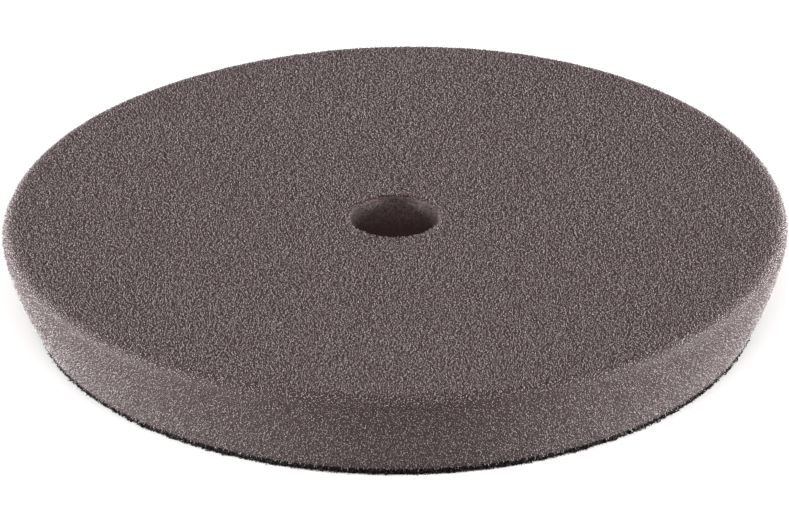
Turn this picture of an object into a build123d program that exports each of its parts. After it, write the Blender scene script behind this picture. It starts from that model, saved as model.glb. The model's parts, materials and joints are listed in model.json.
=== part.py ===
"""Foam polishing pad, 165 mm, with a 150 mm hook-and-loop back.

The pad is a lamination of four layers. From the top down they are the foam disc, a hot-melt
adhesive film, the knitted ground of the loop fabric, and the pile of loops that the ground
carries. One round hole runs through all four.

Frame: millimetres, +Z up along the pad's axis. The origin is the centre of the underside of
the loop pile, which is the face that a backing plate grips, so the working face is on top.
"""

import os

from build123d import *

# Driving dimensions, in millimetres.
face_diameter = 165.0  # widest diameter of the foam, at the rim of the working face
hole_diameter = 19.0  # centring hole, through every layer
foam_thickness = 19.0
rim_radius = 3.0  # rounding of the rim between the working face and the side
hole_edge_radius = 0.8  # rounding where the hole breaks into the working face
foam_back_diameter = 152.4  # foam at the adhesive line, after the side has tapered in
film_diameter = 151.6
film_thickness = 0.25
ground_diameter = 151.8
ground_thickness = 0.55
pile_diameter = 151.2
pile_height = 1.0

# The layers' levels, from the underside up.
pile_bottom = 0.0
ground_bottom = pile_bottom + pile_height
film_bottom = ground_bottom + ground_thickness
foam_bottom = film_bottom + film_thickness
working_face = foam_bottom + foam_thickness

# Half sizes that the foam's profile uses.
face_radius = face_diameter / 2
foam_back_radius = foam_back_diameter / 2
hole_radius = hole_diameter / 2
rim_level = working_face - rim_radius  # height of the widest point


def ring_sketch(outer_diameter):
    """A round layer with the centring hole in it, drawn in the sketch that is open."""
    Circle(outer_diameter / 2)
    Circle(hole_radius, mode=Mode.SUBTRACT)


# Foam disc: half of its section is drawn and turned about the pad's axis. The side is
# straight from the back to the widest point, and a quarter round joins that to the face.
with BuildPart() as foam_disc:
    with BuildSketch(Plane.XZ):
        with BuildLine():
            back = Line((hole_radius, foam_bottom), (foam_back_radius, foam_bottom))
            side = Line(back @ 1, (face_radius, rim_level))
            rim = RadiusArc(side @ 1, (face_radius - rim_radius, working_face), -rim_radius)
            face = Line(rim @ 1, (hole_radius + hole_edge_radius, working_face))
            hole_edge_end = (hole_radius, working_face - hole_edge_radius)
            hole_edge = RadiusArc(face @ 1, hole_edge_end, -hole_edge_radius)
            Line(hole_edge @ 1, back @ 0)
        make_face()
    revolve(axis=Axis.Z)

# Hot-melt film that bonds the loop fabric to the foam.
with BuildPart() as adhesive_film:
    with BuildSketch(Plane.XY.offset(film_bottom)):
        ring_sketch(film_diameter)
    extrude(amount=film_thickness)

# Knitted ground of the loop fabric, punched out a little smaller than the foam's back.
with BuildPart() as loop_ground:
    with BuildSketch(Plane.XY.offset(ground_bottom)):
        ring_sketch(ground_diameter)
    extrude(amount=ground_thickness)

# Pile of loops that the hooks of the backing plate catch. It is the outer shape of the pile.
with BuildPart() as loop_pile:
    with BuildSketch(Plane.XY.offset(pile_bottom)):
        ring_sketch(pile_diameter)
    extrude(amount=pile_height)

foam_disc.part.label = "foam_disc"
adhesive_film.part.label = "adhesive_film"
loop_ground.part.label = "loop_ground"
loop_pile.part.label = "loop_pile"

os.makedirs("parts", exist_ok=True)
export_step(foam_disc.part, "parts/foam_disc.step")
export_step(adhesive_film.part, "parts/adhesive_film.step")
export_step(loop_ground.part, "parts/loop_ground.step")
export_step(loop_pile.part, "parts/loop_pile.step")
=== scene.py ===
"""Looks of the foam polishing pad: open-cell foam, hot-melt film, knitted ground and loop pile."""

import json
import math

import bpy
import numpy as np
from mathutils import Matrix, Vector


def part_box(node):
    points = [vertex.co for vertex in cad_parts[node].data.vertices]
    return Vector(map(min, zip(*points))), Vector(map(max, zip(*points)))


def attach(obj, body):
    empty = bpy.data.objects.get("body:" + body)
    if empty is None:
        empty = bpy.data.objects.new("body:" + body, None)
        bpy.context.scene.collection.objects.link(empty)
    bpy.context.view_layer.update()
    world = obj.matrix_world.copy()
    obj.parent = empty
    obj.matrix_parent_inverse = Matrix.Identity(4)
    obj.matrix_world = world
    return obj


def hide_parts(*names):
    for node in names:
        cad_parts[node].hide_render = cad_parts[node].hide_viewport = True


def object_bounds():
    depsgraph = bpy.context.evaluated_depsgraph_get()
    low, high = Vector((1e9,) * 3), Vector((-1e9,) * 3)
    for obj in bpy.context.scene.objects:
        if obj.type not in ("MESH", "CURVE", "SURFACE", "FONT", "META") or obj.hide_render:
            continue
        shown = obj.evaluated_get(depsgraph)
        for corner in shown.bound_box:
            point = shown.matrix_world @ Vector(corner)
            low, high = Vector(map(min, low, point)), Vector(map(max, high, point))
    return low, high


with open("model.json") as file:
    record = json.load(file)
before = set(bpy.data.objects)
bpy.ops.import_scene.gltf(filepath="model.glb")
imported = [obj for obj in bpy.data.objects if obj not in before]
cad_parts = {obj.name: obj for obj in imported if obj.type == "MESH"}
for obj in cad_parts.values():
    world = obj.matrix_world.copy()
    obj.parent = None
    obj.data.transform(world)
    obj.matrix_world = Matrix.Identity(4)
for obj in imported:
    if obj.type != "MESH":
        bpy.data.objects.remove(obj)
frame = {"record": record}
cad_low, cad_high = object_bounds()

MM = 0.001

# Levels and radii, from the CAD frame, in metres.
foam_low, foam_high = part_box("foam_disc")
film_low, film_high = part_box("adhesive_film")
ground_low, ground_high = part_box("loop_ground")
pile_low, pile_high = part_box("loop_pile")
bore = next(m for m in frame["record"]["mounts"] if m["name"] == "centre_hole")
HOLE_RADIUS = bore["dims"]["r_mm"] * MM
FACE_RADIUS = foam_high.x
FACE_LEVEL = foam_high.z
FOAM_BOTTOM = foam_low.z

# Shape of the foam that the box doesn't give.
RIM_RADIUS = 3.0 * MM
RIM_LEVEL = FACE_LEVEL - RIM_RADIUS     # where the rim's rounding meets the side wall
HOLE_EDGE_RADIUS = 0.8 * MM
FOAM_BACK_RADIUS = 76.4 * MM


# ---------------------------------------------------------------- noise on arrays of points

def lattice(x, y, z, seed):
    """A fixed number from 0 to 1 for each whole-numbered lattice point."""
    h = x.astype(np.uint32) * np.uint32(374761393)
    h = h + y.astype(np.uint32) * np.uint32(668265263)
    h = h + z.astype(np.uint32) * np.uint32(2246822519)
    h = h + np.uint32(seed * 362437 + 12345)
    h = (h ^ (h >> np.uint32(15))) * np.uint32(2654435761)
    h = (h ^ (h >> np.uint32(13))) * np.uint32(1274126177)
    h = h ^ (h >> np.uint32(16))
    return h.astype(np.float32) / np.float32(4294967296.0)


def value_noise(points, pitch, seed):
    """Smooth noise from -1 to 1, with bumps about one pitch across."""
    p = (points / pitch).astype(np.float32)
    cell = np.floor(p)
    t = p - cell
    t = t * t * (3 - 2 * t)
    cell = cell.astype(np.int64)
    total = np.zeros(len(p), np.float32)
    for dx in (0, 1):
        for dy in (0, 1):
            for dz in (0, 1):
                weight = np.where(dx, t[:, 0], 1 - t[:, 0])
                weight = weight * np.where(dy, t[:, 1], 1 - t[:, 1])
                weight = weight * np.where(dz, t[:, 2], 1 - t[:, 2])
                total += weight * lattice(cell[:, 0] + dx, cell[:, 1] + dy, cell[:, 2] + dz, seed)
    return 2 * total - 1


def cell_noise(points, pitch, seed):
    """Distances to the nearest and second nearest of one random point per lattice cube, in
    pitches."""
    p = (points / pitch).astype(np.float32)
    cell = np.floor(p)
    t = p - cell
    cell = cell.astype(np.int64)
    first = np.full(len(p), 9.0, np.float32)
    second = np.full(len(p), 9.0, np.float32)
    for dx in (-1, 0, 1):
        for dy in (-1, 0, 1):
            for dz in (-1, 0, 1):
                x, y, z = cell[:, 0] + dx, cell[:, 1] + dy, cell[:, 2] + dz
                away = (dx + lattice(x, y, z, seed) - t[:, 0]) ** 2
                away += (dy + lattice(x, y, z, seed + 1) - t[:, 1]) ** 2
                away += (dz + lattice(x, y, z, seed + 2) - t[:, 2]) ** 2
                second = np.minimum(second, np.maximum(first, away))
                first = np.minimum(first, away)
    return np.sqrt(first), np.sqrt(second)


# ---------------------------------------------------------------- mesh helpers

def mesh_piece(name, points, triangles, flat=None):
    """An object in the scene from arrays of points and triangles, shaded smooth. flat gives the
    texture coordinates of each triangle's corners; without it they are those seen from above."""
    mesh = bpy.data.meshes.new(name)
    mesh.vertices.add(len(points))
    mesh.vertices.foreach_set("co", np.asarray(points, np.float32).ravel())
    mesh.loops.add(3 * len(triangles))
    mesh.loops.foreach_set("vertex_index", np.asarray(triangles, np.int32).ravel())
    mesh.polygons.add(len(triangles))
    mesh.polygons.foreach_set("loop_start", np.arange(0, 3 * len(triangles), 3, dtype=np.int32))
    if flat is None:
        flat = 0.5 + points[triangles][:, :, :2] / (2.1 * FACE_RADIUS)
    layer = mesh.uv_layers.new(name="OFBake")
    layer.uv.foreach_set("vector", np.asarray(flat, np.float32).ravel())
    mesh.update(calc_edges=True)
    mesh.validate()
    mesh.shade_smooth()
    piece = bpy.data.objects.new(name, mesh)
    bpy.context.scene.collection.objects.link(piece)
    return piece


def zip_rings(angles_a, angles_b, start_a, start_b):
    """Triangles between two rings of points given by their rising angles."""
    n, m = len(angles_a), len(angles_b)
    order = np.argsort(np.concatenate([angles_a, angles_b]), kind="stable")
    from_a = order < n
    passed_a = np.cumsum(from_a) - from_a - 1
    passed_b = np.cumsum(~from_a) - (~from_a) - 1
    a, b = start_a + passed_a % n, start_b + passed_b % m
    next_a, next_b = start_a + (passed_a + 1) % n, start_b + (passed_b + 1) % m
    return np.stack([a, np.where(from_a, next_a, next_b), b], axis=1)


def turned(profile, normals, spacings, rng):
    """Points, their outward normals and the triangles of a closed profile turned about Z.
    profile and normals are arrays of (radius, height); spacings is the step round each ring."""
    points, outward, angles, starts = [], [], [], []
    start = 0
    for (radius, height), (out, up), step in zip(profile, normals, spacings):
        count = max(12, int(round(2 * math.pi * radius / step)))
        angle = (np.arange(count) + rng.uniform(0, 1) + rng.uniform(-0.22, 0.22, count)) / count
        angle = np.sort((angle % 1.0) * 2 * math.pi)
        c, s = np.cos(angle), np.sin(angle)
        points.append(np.stack([radius * c, radius * s, np.full(count, height)], axis=1))
        outward.append(np.stack([out * c, out * s, np.full(count, up)], axis=1))
        angles.append(angle)
        starts.append(start)
        start += count
    triangles = []
    for i in range(len(starts)):
        j = (i + 1) % len(starts)
        triangles.append(zip_rings(angles[i], angles[j], starts[i], starts[j]))
    return np.concatenate(points), np.concatenate(outward), np.concatenate(triangles)


def unit(vectors):
    """The vectors again, each one long."""
    return vectors / np.linalg.norm(vectors, axis=1)[:, None]


def scattered(profile, step, rng):
    """Evenly strewn points on the surface of the turned profile, with their outward normals."""
    ahead = np.diff(profile, axis=0)
    along = np.concatenate([[0], np.cumsum(np.linalg.norm(ahead, axis=1))])
    normals = unit(np.stack([-ahead[:, 1], ahead[:, 0]], axis=1))
    middles = (along[1:] + along[:-1]) / 2
    rows = np.arange(0.5 * step, along[-1], step)
    counts = (2 * math.pi * np.interp(rows, along, profile[:, 0]) / step).astype(int)
    row = np.repeat(rows, counts)
    starts = np.repeat(np.cumsum(counts) - counts, counts)
    turn = np.repeat(rng.uniform(0, 1, len(rows)), counts)
    place = np.arange(len(row)) - starts + turn + rng.uniform(-0.33, 0.33, len(row))
    angle = 2 * math.pi * place / np.repeat(counts, counts)
    at = np.clip(row + step * rng.uniform(-0.33, 0.33, len(row)), 0, along[-1])
    radius, height = (np.interp(at, along, profile[:, k]) for k in (0, 1))
    out, up = (np.interp(at, middles, normals[:, k]) for k in (0, 1))
    c, s = np.cos(angle), np.sin(angle)
    outward = unit(np.stack([out * c, out * s, up], axis=1))
    return np.stack([radius * c, radius * s, height], axis=1), outward


def arc(centre, radius, start_degrees, end_degrees, count):
    """Points of an arc in the (radius, height) plane."""
    t = np.radians(np.linspace(start_degrees, end_degrees, count))
    return [(centre[0] + radius * math.cos(a), centre[1] + radius * math.sin(a)) for a in t]


def stepped(corner_points, step):
    """The polyline again, with points about step apart."""
    p = np.array(corner_points, float)
    along = np.concatenate([[0], np.cumsum(np.linalg.norm(np.diff(p, axis=0), axis=1))])
    at = np.linspace(0, along[-1], max(2, int(round(along[-1] / step)) + 1))
    return np.stack([np.interp(at, along, p[:, k]) for k in range(2)], axis=1)


# ---------------------------------------------------------------- foam

SKIN_STEP = 0.38 * MM           # mesh step of the skin between the strut ends, painted dark as the shade in the pores
HIDDEN_STEP = 3.0 * MM          # mesh step where nothing shows
CELL_PITCH = 0.80 * MM          # size of the foam's cells
CELL_EDGE = 0.26                # width of the raised edge between cells, in cell pitches
SKIN_DEPTH = 0.12 * MM          # how far the skin lies under the cut surface
PORE_DEPTH = 0.10 * MM          # how much deeper the pores go
STRUT_SPACING = 0.37 * MM
STRUT_WIDTH = 0.13 * MM
STRUT_ROOT = 0.90 * MM          # how deep a strut's foot is in the foam
STRUT_LEAN = 0.30               # spread of the struts' directions about the surface's normal
HOLE_STRUT_DEPTH = 4.0 * MM     # how far down the hole the struts thin out
HOLE_STRUT_REACH = 0.35 * MM    # how much further they stick out at the hole's edge
FOOT_ZONE = 0.7 * MM            # height at the back of the side wall where struts hang down
FOOT_REACH = 0.60 * MM
WALL_BULGE = 0.60 * MM          # how far the side wall bows out of a straight cone
WALL_POINTS = 20
TWO_LOBES = 0.22 * MM           # the outline's strays from a true circle
THREE_LOBES = 0.40 * MM
FACE_SHIFT = 0.40 * MM          # the outline's centre, to +X and to +Y of the hole's
BACK_SHIFT_X = 0.14 * MM        # and how much further the back's centre is off
BACK_SHIFT_Y = -0.50 * MM
FINE_SWELL = 0.05 * MM          # unevenness of the cut, small bumps and broad ones
BROAD_SWELL = 0.10 * MM
FINE_SWELL_PITCH = 2.4 * MM
BROAD_SWELL_PITCH = 22 * MM
HOLE_SKIN = HOLE_RADIUS + 0.2 * MM      # skin closer to the axis than this is in the hole
HOLE_STRUTS = HOLE_RADIUS + 0.1 * MM    # and the same for struts

# Shades below are how dark the foam is, painted shade and highlight included: palest at 0 and below,
# darkest from about 1 up.


def foam_profile(step):
    """The foam's section from the hole's foot, up, over the face and down the side."""
    edge = HOLE_EDGE_RADIUS
    line = [(HOLE_RADIUS, FOAM_BOTTOM)]
    line += arc((HOLE_RADIUS + edge, FACE_LEVEL - edge), edge, 180, 90, 10)
    line += arc((FACE_RADIUS - RIM_RADIUS, RIM_LEVEL), RIM_RADIUS, 90, 0, 24)
    taper = FACE_RADIUS - FOAM_BACK_RADIUS
    for t in np.linspace(1 / WALL_POINTS, 1.0, WALL_POINTS):
        bulge = 4 * WALL_BULGE * t * (1 - t)
        line.append((FACE_RADIUS - taper * t + bulge, RIM_LEVEL + t * (FOAM_BOTTOM - RIM_LEVEL)))
    return stepped(line, step)


def out_of_round(points):
    """How far the pad's outline strays from a true circle, as an offset of each point.
    It grows from nothing at the hole, and the back is bonded a little off centre."""
    angle = np.arctan2(points[:, 1], points[:, 0])
    radius = np.hypot(points[:, 0], points[:, 1])
    share = np.clip((radius - 2 * HOLE_RADIUS) / (FACE_RADIUS - 2 * HOLE_RADIUS), 0, 1)
    lobes = TWO_LOBES * np.cos(2 * angle) - THREE_LOBES * np.cos(3 * angle)
    lower = np.clip((RIM_LEVEL - points[:, 2]) / RIM_LEVEL, 0, 1)
    offset = np.zeros_like(points)
    offset[:, 0] = share * (lobes * np.cos(angle) + FACE_SHIFT + BACK_SHIFT_X * lower)
    offset[:, 1] = share * (lobes * np.sin(angle) + FACE_SHIFT + BACK_SHIFT_Y * lower)
    return offset


def swell(points):
    """Soft unevenness of the cut foam, measured along the surface's normal."""
    fine = FINE_SWELL * value_noise(points, FINE_SWELL_PITCH, 21)
    return fine + BROAD_SWELL * value_noise(points, BROAD_SWELL_PITCH, 31)


def side_and_painted_rim_light(points, outward):
    """From 0 to 1, how much each point belongs to the side wall and to the rim, which gets a painted
    highlight. Both follow the slope of the surface, because the rim turns from level to upright."""
    up = outward[:, 2]
    side = np.clip(1 - up / 0.7, 0, 1)
    painted_rim_light = np.clip(np.minimum((1 - up) / 0.25, (up - 0.15) / 0.45), 0, 1)
    return side, painted_rim_light * (np.hypot(points[:, 0], points[:, 1]) > 0.5 * FACE_RADIUS)


def painted_hole_shade(points, tone_and_painted_shade):
    """Darkness of the hole's wall, all painted light and shade: paler than the face's skin, darker
    with depth and at the mouth, and high on the left and right flanks, where the side light falls in."""
    depth = FACE_LEVEL - points[:, 2]
    down_hole = np.clip(depth / (8.0 * MM), 0, 1)
    at_top = np.clip(1 - depth / (1.6 * MM), 0, 1)
    flank = np.clip(1 - (points[:, 1] / HOLE_RADIUS) ** 2, 0, 1) ** 3
    flank *= np.clip(1.5 - depth / (3.0 * MM), 0, 1)
    return np.clip(0.23 + 0.28 * down_hole + 2.4 * flank + 0.25 * at_top + 0.10 * tone_and_painted_shade, 0, 0.85)


def foam_skin(rng):
    """The foam's closed body: points, triangles and how dark each point is, from 0 to 1."""
    seen = foam_profile(SKIN_STEP)
    hidden = stepped([seen[-1], seen[0]], HIDDEN_STEP)[1:-1]
    profile = np.concatenate([seen, hidden])
    ahead = np.roll(profile, -1, axis=0) - np.roll(profile, 1, axis=0)
    normals = unit(np.stack([-ahead[:, 1], ahead[:, 0]], axis=1))
    spacings = np.concatenate([np.full(len(seen), SKIN_STEP), np.full(len(hidden), HIDDEN_STEP)])
    points, outward, triangles = turned(profile, normals, spacings, rng)
    first, second = cell_noise(points, CELL_PITCH, 11)
    edge = np.exp(-(((second - first) / CELL_EDGE) ** 2))
    # How dark the skin is: painted shade where it lies deeper between the cell edges, and random tone.
    tone_and_painted_shade = 1 - 0.5 * edge - 0.5 * rng.uniform(0, 1, len(points))
    in_hole = np.hypot(points[:, 0], points[:, 1]) < HOLE_SKIN
    relief = (swell(points) - SKIN_DEPTH - PORE_DEPTH * tone_and_painted_shade) * np.where(in_hole, 0.35, 1.0)
    relief *= np.clip((points[:, 2] - FOAM_BOTTOM) / (0.4 * MM), 0, 1)
    moved = points + outward * relief[:, None] + out_of_round(points)
    side, painted_rim_light = side_and_painted_rim_light(points, outward)
    # The skin is painted dark all over as the shade deep in the pores, and a little darker on the side wall
    # and on the rim beside its painted highlight.
    shade = 0.66 + 0.05 * side + 0.03 * painted_rim_light + 0.24 * tone_and_painted_shade
    # In the hole the skin takes the painted light and shade of the hole's wall instead.
    return moved, triangles[:, ::-1], np.where(in_hole, painted_hole_shade(points, tone_and_painted_shade), shade)


def foam_struts(rng):
    """Cut ends of the cell struts, evenly strewn over the foam: stubs with three sides that
    lean at random, narrow to a foot inside the foam and end near the cut surface. They thin out
    down the hole, and those at the back of the side wall hang down over the fabric's edge."""
    spots, outward = scattered(foam_profile(SKIN_STEP), STRUT_SPACING, rng)
    radius = np.hypot(spots[:, 0], spots[:, 1])
    depth = FACE_LEVEL - spots[:, 2]
    deepest = HOLE_STRUT_DEPTH * rng.uniform(0, 1, len(spots)) ** 1.5 + HOLE_EDGE_RADIUS
    kept = (radius >= HOLE_STRUTS) | (depth < deepest)
    kept &= spots[:, 2] > FOAM_BOTTOM + 0.05 * MM
    spots, outward, radius = spots[kept], outward[kept], radius[kept]
    count = len(spots)
    at_hole = np.clip(1.6 - (radius - HOLE_RADIUS) / MM, 0, 1)
    at_foot = np.clip(1 - (spots[:, 2] - FOAM_BOTTOM) / FOOT_ZONE, 0, 1) * (radius > 2 * HOLE_RADIUS)
    way = unit(outward + rng.normal(0, STRUT_LEAN, (count, 3)) - at_foot[:, None] * (0, 0, 0.9))
    across = unit(np.cross(way, unit(rng.normal(0, 1, (count, 3)))))
    other = np.cross(way, across)
    width = STRUT_WIDTH * rng.uniform(0.7, 1.3, count)[:, None] / 2
    reach = swell(spots) + MM * rng.uniform(-0.02, 0.22, count)
    reach += HOLE_STRUT_REACH * at_hole * rng.uniform(0, 1, count)
    reach += FOOT_REACH * at_foot * rng.uniform(0, 1, count)
    root = spots + out_of_round(spots) - STRUT_ROOT * outward
    head = root + (STRUT_ROOT + reach)[:, None] * way
    corners = [head + width * (math.cos(t) * across + math.sin(t) * other) for t in (0.0, 2.1, 4.2)]
    points = np.stack([root] + corners, axis=1).reshape(-1, 3)
    start = 4 * np.arange(count)[:, None]
    faces = [(0, 1, 2), (0, 2, 3), (0, 3, 1), (1, 3, 2)]
    triangles = np.concatenate([start + np.array(face) for face in faces])
    side, painted_rim_light = side_and_painted_rim_light(spots, outward)
    tone = rng.uniform(0, 1, count)
    # Struts are painted paler on the rim, a painted highlight, and darker at the hole's edge, painted
    # shade.
    shade = 0.12 + 0.24 * tone + side * (0.24 * tone - 0.18) - 0.26 * painted_rim_light + 0.06 * at_hole
    # Struts down the hole are painted darker: painted shade in the hole, also against the side light that
    # falls in.
    shade = np.where(radius < HOLE_STRUTS, 0.36 + 0.60 * tone, shade)
    # A strut's hidden foot is painted near-black, so the strut darkens down into the pore: painted shade.
    return points, triangles, np.stack([shade + 0.9] + [shade] * 3, axis=1).ravel()


def skin_layout(points, triangles):
    """Texture coordinates of the foam's skin: the face as a disc, the side wall as three strips
    under it, the hole's wall as a short strip and the underside as a small disc to its right."""
    corners = points[triangles]
    middle = corners.mean(axis=1)
    radius = np.hypot(middle[:, 0], middle[:, 1])
    around = np.arctan2(middle[:, 1], middle[:, 0])
    spread = np.arctan2(corners[:, :, 1], corners[:, :, 0]) - around[:, None]
    spread = (spread + math.pi) % (2 * math.pi) - math.pi
    turns = (around[:, None] + spread) / (2 * math.pi) + 0.5
    height = (corners[:, :, 2] - FOAM_BOTTOM) / (FACE_LEVEL - FOAM_BOTTOM)
    flat = np.array([0.38, 0.62]) + corners[:, :, :2] * 0.75 / (2.03 * FACE_RADIUS)
    strip = np.floor(3 * turns.mean(axis=1))[:, None]
    wall = np.stack([0.01 + 0.96 * (3 * turns - strip), 0.005 + 0.078 * strip + 0.066 * height], axis=-1)
    hole = np.stack([0.78 + 0.20 * turns, 0.30 + 0.07 * height], axis=-1)
    under = np.array([0.88, 0.50]) + corners[:, :, :2] * 0.2 / (2.1 * FACE_RADIUS)
    on_wall = (middle[:, 2] < FACE_LEVEL - 1.0 * MM) & (radius > 0.5 * FACE_RADIUS)
    in_hole = (middle[:, 2] < FACE_LEVEL - 0.6 * MM) & (radius < HOLE_RADIUS + 0.6 * MM)
    below = (middle[:, 2] < FOAM_BOTTOM + 0.05 * MM) & ~on_wall & ~in_hole
    flat = np.where(on_wall[:, None, None], wall, flat)
    flat = np.where(in_hole[:, None, None], hole, flat)
    return np.where(below[:, None, None], under, flat)


def strut_layout(shades, rng):
    """Texture coordinates of the struts: all share one patch, with the shade running across."""
    across = 0.78 + 0.20 * np.clip(shades / 1.3, 0, 1)
    up = 0.65 + 0.30 * rng.uniform(0, 1, shades.shape)
    return np.stack([across, up], axis=-1)


def make_foam():
    """The foam: skin and struts in one mesh, with their darkness, painted shade and highlight included."""
    rng = np.random.default_rng(7)
    skin, skin_triangles, skin_shade = foam_skin(rng)
    ends, end_triangles, end_shade = foam_struts(rng)
    triangles = np.concatenate([skin_triangles, end_triangles + len(skin)])
    skin_flat = skin_layout(skin, skin_triangles)
    flat = np.concatenate([skin_flat, strut_layout(end_shade[end_triangles], rng)])
    foam = mesh_piece("foam", np.concatenate([skin, ends]), triangles, flat)
    tone_and_painted_shade = foam.data.attributes.new("tone_and_painted_shade", "FLOAT", "POINT")
    tone_and_painted_shade.data.foreach_set("value", np.concatenate([skin_shade, end_shade]).astype(np.float32))
    return foam


# ---------------------------------------------------------------- film, ground and pile

FILM_RADIUS = film_high.x
GROUND_RADIUS = ground_high.x
PILE_RADIUS = pile_high.x
BACKING_HOLE = HOLE_RADIUS + 0.1 * MM   # film and ground stop just short of the hole's wall
RAGGED_ZONE = 1.5 * MM          # how far in from the cut edge the layers are uneven
RAGGED_PITCH = 1.3 * MM
EDGE_STEP = 0.3 * MM            # mesh step round a layer's cut edge
INNER_STEP = 0.4 * MM           # and round its hole
WALE_PITCH = 1.20 * MM          # stitches of the knit, across and along its ribs
COURSE_PITCH = 1.00 * MM
RIB_DEPTH = 0.05 * MM
YARN_WIDTH = 0.36 * MM
FOOT_DEPTH = 0.12 * MM          # how far a loop's feet are in the ground
LOOP_JITTER = 0.25 * MM
LOOP_LEAN = 0.35 * MM           # how far the pile lies over, and how unevenly
LOOP_STRAY = 0.30 * MM
EDGE_ROWS = 3                   # rows of closer loops round the cut edge
EDGE_ZONE = 1.5 * MM
EDGE_ROW_STEP = 0.5 * MM
EDGE_LOOP_PITCH = 0.48 * MM


def ring_piece(name, outer, low, high, face_step, ragged, rng, face_relief=None):
    """A thin closed ring with a rounded, ragged rim. face_relief moves its underside."""
    thick = high - low
    inner = BACKING_HOLE
    under = stepped([(outer - 0.2 * thick, low), (inner, low)], face_step)
    inner_wall = stepped([(inner, low), (inner, high)], 0.4 * thick)[1:-1]
    top = stepped([(inner, high), (outer - 0.3 * thick, high)], HIDDEN_STEP)
    rim = np.array([(outer - 0.1 * thick, high - 0.1 * thick), (outer, low + 0.6 * thick),
                    (outer, low + 0.3 * thick)])
    profile = np.concatenate([under, inner_wall, top, rim])
    ahead = np.roll(profile, -1, axis=0) - np.roll(profile, 1, axis=0)
    normals = unit(np.stack([-ahead[:, 1], ahead[:, 0]], axis=1))
    spacings = np.concatenate([np.full(len(under), face_step), np.full(len(inner_wall), INNER_STEP),
                               np.full(len(top), HIDDEN_STEP), np.full(len(rim), EDGE_STEP)])
    points, outward, triangles = turned(profile, normals, spacings, rng)
    radius = np.hypot(points[:, 0], points[:, 1])
    at_rim = np.clip((radius - outer + RAGGED_ZONE) / RAGGED_ZONE, 0, 1)
    stray = 0.7 * value_noise(points * (1, 1, 0.3), RAGGED_PITCH, 41)
    stray = stray + 0.5 * rng.uniform(-1, 1, len(points))
    away = points * (1, 1, 0) / radius[:, None]
    moved = points + away * (ragged * stray * at_rim)[:, None]
    if face_relief is not None:
        facing_down = np.clip(-outward[:, 2], 0, 1)
        moved[:, 2] += face_relief(points) * facing_down * (1 - at_rim)
    return mesh_piece(name, moved + out_of_round(moved), triangles[:, ::-1])


def knit_relief(points):
    """Ribs of stitches running along Y, each stitch a small bump."""
    wale = np.cos(2 * math.pi * points[:, 0] / WALE_PITCH)
    course = np.cos(2 * math.pi * (points[:, 1] / COURSE_PITCH + 0.25 * wale))
    return RIB_DEPTH * (wale + 0.6 * course)


def tubes(paths, radii, sides):
    """Closed tubes along paths, an array of (tube, station, 3), with a radius for each station.
    All rings of a tube are built against one direction, so that it doesn't twist."""
    count, stations = paths.shape[:2]
    along = np.gradient(paths, axis=1)
    along /= np.linalg.norm(along, axis=2)[:, :, None]
    hint = np.cross(along[:, 0], along[:, -1])
    hint += 0.01 * np.array([0.31, 0.52, 0.79]) * np.linalg.norm(along[:, 0], axis=1)[:, None]
    across = np.cross(along, hint[:, None, :])
    across /= np.linalg.norm(across, axis=2)[:, :, None]
    other = np.cross(along, across)
    turns = 2 * math.pi * np.arange(sides) / sides
    ring = across[:, :, None, :] * np.cos(turns)[:, None] + other[:, :, None, :] * np.sin(turns)[:, None]
    points = (paths[:, :, None, :] + radii[:, :, None, None] * ring).reshape(-1, 3)
    tube = (np.arange(count) * stations * sides)[:, None, None]
    station = (np.arange(stations - 1) * sides)[None, :, None]
    a = np.arange(sides)
    b = (a + 1) % sides
    here, there = tube + station + a, tube + station + b
    sides_one = np.stack([here, there, there + sides], axis=-1).reshape(-1, 3)
    sides_two = np.stack([here, there + sides, here + sides], axis=-1).reshape(-1, 3)
    fan = np.array([(0, k + 1, k) for k in range(1, sides - 1)])
    first = tube + fan
    last = tube + (stations - 1) * sides + fan[:, ::-1]
    return points, np.concatenate([sides_one, sides_two, first.reshape(-1, 3), last.reshape(-1, 3)])


def arches(feet, way, drop, width, lean, stations):
    """Loops hanging from feet: half rounds that open along way, drop down and lean sideways."""
    t = np.linspace(0, 1, stations)
    sweep = (-np.cos(math.pi * t))[None, :, None] * (width / 2)[:, None, None] * way[:, None, :]
    fall = (np.sin(math.pi * t) ** 0.7)[None, :, None]
    down = fall * (drop[:, None] * np.array([0, 0, -1.0]) + lean)[:, None, :]
    return feet[:, None, :] + sweep + down


def inner_feet(rng):
    """Where the inner loops stand, one for each stitch of the ground, and which way they open."""
    reach = int(PILE_RADIUS / COURSE_PITCH) + 2
    i, j = np.meshgrid(np.arange(-reach, reach), np.arange(-reach, reach))
    i, j = i.ravel(), j.ravel()
    x = i * WALE_PITCH + LOOP_JITTER * rng.uniform(-1, 1, i.size)
    y = (j + 0.5 * (i % 2)) * COURSE_PITCH + LOOP_JITTER * rng.uniform(-1, 1, i.size)
    radius = np.hypot(x, y)
    inside = (radius > HOLE_RADIUS + 0.7 * MM) & (radius < PILE_RADIUS - EDGE_ZONE)
    x, y = x[inside], y[inside]
    return x, y, rng.normal(0.5 * math.pi, 0.5, len(x))


def edge_feet(rng):
    """The same for the rows of closer loops round the cut edge."""
    count = EDGE_ROWS * int(2 * math.pi * PILE_RADIUS / EDGE_LOOP_PITCH)
    place = np.arange(count) * EDGE_ROWS
    angle = 2 * math.pi * (place + rng.uniform(-1, 1, count)) / count
    inset = 0.1 * MM + EDGE_ROW_STEP * (place // count) + 0.2 * MM * rng.uniform(-1, 1, count)
    radius = PILE_RADIUS - inset
    return radius * np.cos(angle), radius * np.sin(angle), angle + rng.normal(0.5 * math.pi, 0.7, count)


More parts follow.
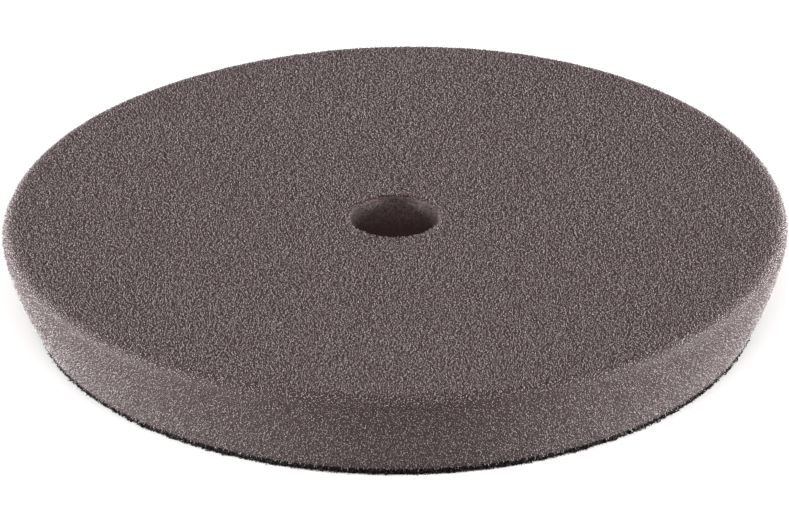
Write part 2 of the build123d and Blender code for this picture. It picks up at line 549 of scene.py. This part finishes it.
def make_loops():
    """The pile: a loop for every stitch of the ground, and closer rows round the cut edge."""
    rng = np.random.default_rng(19)
    inner, edge = inner_feet(rng), edge_feet(rng)
    x, y, turn = (np.concatenate(both) for both in zip(inner, edge))
    count = len(x)
    at_edge = np.arange(count) >= len(inner[0])
    feet = np.stack([x, y, np.full(count, ground_low.z + FOOT_DEPTH)], axis=1)
    way = np.stack([np.cos(turn), np.sin(turn), np.zeros(count)], axis=1)
    drop = (ground_low.z - pile_low.z) * rng.uniform(0.72, 0.98, count)
    lean = LOOP_STRAY * rng.normal(0, 1, (count, 3)) * (1, 1, 0) + LOOP_LEAN * np.array([0.3, 1.0, 0.0])
    outward = feet * (1, 1, 0) / np.hypot(x, y)[:, None]
    tuft = np.clip(0.5 + 0.9 * value_noise(feet, 2.2 * MM, 51), 0, 1.2)
    lean *= np.where(at_edge, 0.4, 1.0)[:, None]
    lean += outward * (at_edge * 0.20 * MM * tuft)[:, None]
    paths = arches(feet, way, drop, rng.uniform(0.9, 1.5, count) * MM, lean, 6)
    widths = rng.uniform(0.75, 1.15, count) * np.where(at_edge, 0.9, 1.0)
    radii = np.full(paths.shape[:2], YARN_WIDTH / 2) * widths[:, None]
    points, triangles = tubes(paths, radii, 3)
    points[:, 2] = np.maximum(points[:, 2], pile_low.z)
    loops = mesh_piece("pile_loops", points + out_of_round(points), triangles)
    pale = loops.data.attributes.new("pale", "FLOAT", "POINT")
    pale.data.foreach_set("value", np.repeat(~at_edge, len(points) // count).astype(np.float32))
    return loops


def frayed(count, lengths, widths, spread, stations, rng):
    """Paths and radii of short curly ends that stick out of the cut edge of ground and pile.
    lengths and widths are ranges in millimetres."""
    angle = rng.uniform(0, 2 * math.pi, count)
    height = rng.uniform(0.10 * MM, film_low.z, count)
    radius = GROUND_RADIUS - rng.uniform(0.20, 0.45, count) * MM
    out = np.stack([np.cos(angle), np.sin(angle), np.zeros(count)], axis=1)
    root = out * radius[:, None] + height[:, None] * np.array([0, 0, 1.0])
    way = unit(out + rng.normal(0, spread, (count, 3)) * (1, 1, 0.6) - (0, 0, 0.15))
    bend = rng.normal(0, 0.4, (count, 3)) * (1, 1, 0.5)
    tuft = 0.5 + 0.3 * value_noise(root, 2.6 * MM, 61) + 0.5 * value_noise(root, 0.9 * MM, 62)
    length = MM * (0.10 + rng.uniform(*lengths, count) * np.clip(tuft, 0, 1.2))
    t = np.linspace(0, 1, stations)[None, :, None]
    paths = root[:, None, :] + length[:, None, None] * (t * way[:, None, :] + t * t * bend[:, None, :])
    taper = np.linspace(1.0, 0.6, stations)
    return paths, MM / 2 * rng.uniform(*widths, count)[:, None] * taper[None, :]


def make_edge_fibres():
    """Cut yarn ends all round the edge, and a few fine filaments between them."""
    rng = np.random.default_rng(23)
    yarn, yarn_triangles = tubes(*frayed(8000, (0.20, 0.60), (0.16, 0.28), 0.45, 3, rng), 4)
    hair, hair_triangles = tubes(*frayed(900, (0.40, 1.30), (0.05, 0.09), 0.60, 4, rng), 3)
    points = np.concatenate([yarn, hair])
    points[:, 2] = np.maximum(points[:, 2], pile_low.z)
    triangles = np.concatenate([yarn_triangles, hair_triangles + len(yarn)])
    return mesh_piece("edge_fibres", points + out_of_round(points), triangles)


# ---------------------------------------------------------------- materials

def new_material(name):
    """A node material, its tree and its shader."""
    material = bpy.data.materials.new(name)
    material.use_nodes = True
    tree = material.node_tree
    return material, tree, tree.nodes["Principled BSDF"]


def node(tree, kind, **values):
    """A node with its properties and plain input values set by name."""
    made = tree.nodes.new("ShaderNode" + kind)
    for key, value in values.items():
        if hasattr(made, key):
            setattr(made, key, value)
        else:
            made.inputs[key.replace("_", " ")].default_value = value
    return made


def pattern(tree, kind, output, **values):
    """The named output of a noise node laid out in the object's own coordinates."""
    place = node(tree, "TexCoord")
    made = node(tree, kind, **values)
    tree.links.new(place.outputs["Object"], made.inputs["Vector"])
    return made.outputs[output]


def ramp(tree, source, *stops):
    """The colour at source on a ramp through stops of (position, colour)."""
    made = node(tree, "ValToRGB")
    elements = made.color_ramp.elements
    for element, (position, colour) in zip(elements, (stops[0], stops[-1])):
        element.position = position
        element.color = (*colour, 1)
    for position, colour in stops[1:-1]:
        elements.new(position).color = (*colour, 1)
    tree.links.new(source, made.inputs["Fac"])
    return made.outputs["Color"]


def remap(tree, source, low, high, source_high=1.0):
    """A number that goes from low to high while source goes from 0 to source_high."""
    made = node(tree, "MapRange", clamp=True, From_Max=source_high, To_Min=low, To_Max=high)
    tree.links.new(source, made.inputs["Value"])
    return made.outputs["Result"]


def add_bump(tree, shader, source, strength, distance):
    """Fine relief of the shader's surface, with heights from source."""
    bump = node(tree, "Bump", Strength=strength, Distance=distance)
    tree.links.new(source, bump.inputs["Height"])
    tree.links.new(bump.outputs["Normal"], shader.inputs["Normal"])


def foam_material():
    """Open-cell foam: pale strut tops, pores painted dark as shade, and finer fibres between them."""
    material, tree, shader = new_material("open_cell_foam")
    tone_and_painted_shade = node(tree, "Attribute", attribute_name="tone_and_painted_shade")
    fine = pattern(tree, "TexVoronoi", "Distance", feature="DISTANCE_TO_EDGE", Scale=3400.0, Randomness=1.0)
    darkness = node(tree, "Math", operation="ADD")
    tree.links.new(tone_and_painted_shade.outputs["Fac"], darkness.inputs[0])
    tree.links.new(remap(tree, fine, -0.10, 0.10, 0.30), darkness.inputs[1])
    colour = ramp(tree, darkness.outputs["Value"],
                  (0.00, (0.430, 0.400, 0.402)),
                  (0.15, (0.262, 0.229, 0.231)),
                  (0.45, (0.0644, 0.0352, 0.0359)),
                  (0.95, (0.0083, 0.0023, 0.0025)))
    tree.links.new(colour, shader.inputs["Base Color"])
    add_bump(tree, shader, fine, 0.7, 0.1 * MM)
    shader.inputs["Roughness"].default_value = 0.7
    shader.inputs["Specular IOR Level"].default_value = 0.3
    shader.inputs["Sheen Weight"].default_value = 0.06
    shader.inputs["Sheen Roughness"].default_value = 0.35
    shader.inputs["Sheen Tint"].default_value = (1.0, 0.98, 0.98, 1)
    return material


def nylon_material(name, tint, scale):
    """Black nylon yarn: uneven dye, soft gloss that goes with it, and fine fibre grain of the
    given scale. Where the mesh has the attribute pale, the yarn is paler."""
    material, tree, shader = new_material(name)
    dye = pattern(tree, "TexNoise", "Fac", Scale=220.0, Detail=3.0)
    colour = ramp(tree, dye, (0.30, [0.45 * channel for channel in tint]), (0.72, tint))
    pale = node(tree, "Attribute", attribute_name="pale")
    lifted = node(tree, "VectorMath", operation="SCALE")
    tree.links.new(colour, lifted.inputs[0])
    tree.links.new(remap(tree, pale.outputs["Fac"], 1.0, 2.2), lifted.inputs["Scale"])
    tree.links.new(lifted.outputs["Vector"], shader.inputs["Base Color"])
    tree.links.new(remap(tree, dye, 0.65, 0.9), shader.inputs["Roughness"])
    grain = pattern(tree, "TexNoise", "Fac", Scale=scale, Detail=2.0)
    add_bump(tree, shader, grain, 0.5, 0.05 * MM)
    shader.inputs["Specular IOR Level"].default_value = 0.10
    return material


def hot_melt_material():
    """Black hot-melt: glossy where it squeezed out, duller where dust has stuck."""
    material, tree, shader = new_material("hot_melt")
    dust = pattern(tree, "TexNoise", "Fac", Scale=140.0, Detail=5.0)
    colour = ramp(tree, dust, (0.35, (0.0030, 0.0022, 0.0022)), (0.80, (0.0090, 0.0068, 0.0066)))
    tree.links.new(colour, shader.inputs["Base Color"])
    tree.links.new(remap(tree, dust, 0.28, 0.6), shader.inputs["Roughness"])
    add_bump(tree, shader, dust, 0.4, 0.1 * MM)
    shader.inputs["Specular IOR Level"].default_value = 0.15
    return material


# ---------------------------------------------------------------- pieces

FILM_SQUEEZE = 0.04 * MM        # how far the film sinks into its neighbours

foam = make_foam()
foam.data.materials.append(foam_material())
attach(foam, "root")
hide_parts("foam_disc")

film = ring_piece("hot_melt_film", FILM_RADIUS, film_low.z - FILM_SQUEEZE, film_high.z + FILM_SQUEEZE,
                  2.0 * MM, 0.30 * MM, np.random.default_rng(3))
film.data.materials.append(hot_melt_material())
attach(film, "root")
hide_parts("adhesive_film")

ground = ring_piece("knit_ground", GROUND_RADIUS, ground_low.z, ground_high.z,
                    0.45 * MM, 0.28 * MM, np.random.default_rng(5), knit_relief)
ground.data.materials.append(nylon_material("knit_nylon", (0.0150, 0.0110, 0.0112), 5000.0))
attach(ground, "root")
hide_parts("loop_ground")

loops = make_loops()
loops.data.materials.append(nylon_material("loop_nylon", (0.0200, 0.0150, 0.0152), 9000.0))
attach(loops, "root")
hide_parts("loop_pile")

fibres = make_edge_fibres()
fibres.data.materials.append(nylon_material("frayed_nylon", (0.0180, 0.0130, 0.0132), 9000.0))
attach(fibres, "root")


# ---------------------------------------------------------------- stage, lights and camera

FLOOR_HALF = 12.0
FLOOR_WHITE = 0.95
WORLD_COLOUR = (1.0, 0.92, 0.92, 1)
WORLD_STRENGTH = 0.26

SIDE_LIGHT_AWAY = 7.13          # the softboxes to the left and right, a little above the floor
SIDE_LIGHT_HEIGHT = 1.07
SIDE_LIGHT_SIZE = (4.0, 1.8)
SIDE_LIGHT_POWER = 2100.0
SIDE_LIGHT_COLOUR = (0.965, 1.0, 1.0)
FRONT_LIGHT_PLACE = (0.0, -3.63, 6.28)  # the one high up in front
FRONT_LIGHT_SIZE = (6.4, 3.2)
FRONT_LIGHT_POWER = 350.0
FRONT_LIGHT_COLOUR = (1.0, 0.88, 0.88)

CAMERA_ELEVATION = 27.53        # degrees, as in the photograph
CAMERA_ROLL = 0.7
CAMERA_DISTANCE = 2.475
CAMERA_LENS = 536.2             # millimetres, on a sensor 36 mm wide
AIM_BELOW = 9.36 * MM           # how far below and left of the face's centre the camera aims
AIM_LEFT = 0.44 * MM


def make_floor():
    """A plain pale floor under the pad."""
    material, _, shader = new_material("pale_floor")
    shader.inputs["Base Color"].default_value = (FLOOR_WHITE, FLOOR_WHITE, FLOOR_WHITE, 1)
    shader.inputs["Roughness"].default_value = 0.9
    mesh = bpy.data.meshes.new("floor")
    corners = [(-1, -1), (1, -1), (1, 1), (-1, 1)]
    mesh.from_pydata([(x * FLOOR_HALF, y * FLOOR_HALF, cad_low[2]) for x, y in corners], [], [(0, 1, 2, 3)])
    floor = bpy.data.objects.new("floor", mesh)
    floor.data.materials.append(material)
    bpy.context.scene.collection.objects.link(floor)


def soft_light(name, place, size, power, colour):
    """A rectangular softbox that faces the pad."""
    data = bpy.data.lights.new(name, "AREA")
    data.shape = "RECTANGLE"
    data.size, data.size_y = size
    data.energy = power
    data.color = colour
    light = bpy.data.objects.new(name, data)
    light.location = place
    aim = Vector((0, 0, FACE_LEVEL / 2))
    light.rotation_euler = (aim - Vector(place)).to_track_quat("-Z", "Y").to_euler()
    bpy.context.scene.collection.objects.link(light)


def make_world():
    """Even dim light from all round."""
    world = bpy.data.worlds.new("studio")
    world.use_nodes = True
    bpy.context.scene.world = world
    background = world.node_tree.nodes["Background"]
    background.inputs["Color"].default_value = WORLD_COLOUR
    background.inputs["Strength"].default_value = WORLD_STRENGTH


def make_camera():
    """The photograph's camera: a long lens from the front, a little rolled."""
    elevation = math.radians(CAMERA_ELEVATION)
    roll = math.radians(CAMERA_ROLL)
    right = Vector((1, 0, 0))
    up = Vector((0, math.sin(elevation), math.cos(elevation)))
    back = Vector((0, -math.cos(elevation), math.sin(elevation)))
    right, up = (math.cos(roll) * right - math.sin(roll) * up,
                 math.cos(roll) * up + math.sin(roll) * right)
    face_centre = Vector((FACE_SHIFT, FACE_SHIFT, FACE_LEVEL))
    aim = face_centre - AIM_BELOW * up - AIM_LEFT * right
    data = bpy.data.cameras.new("camera")
    data.sensor_width = 36.0
    data.lens = CAMERA_LENS
    data.clip_start, data.clip_end = 0.1, 60.0
    camera = bpy.data.objects.new("camera", data)
    axes = Matrix((right, up, back)).transposed()
    camera.matrix_world = Matrix.Translation(aim + CAMERA_DISTANCE * back) @ axes.to_4x4()
    bpy.context.scene.collection.objects.link(camera)
    bpy.context.scene.camera = camera


make_floor()
make_world()
make_camera()
for name, side in (("left_softbox", -1), ("right_softbox", 1)):
    soft_light(name, (side * SIDE_LIGHT_AWAY, 0.0, SIDE_LIGHT_HEIGHT), SIDE_LIGHT_SIZE,
               SIDE_LIGHT_POWER, SIDE_LIGHT_COLOUR)
soft_light("front_softbox", FRONT_LIGHT_PLACE, FRONT_LIGHT_SIZE, FRONT_LIGHT_POWER, FRONT_LIGHT_COLOUR)
bpy.context.scene.view_settings.view_transform = "Standard"
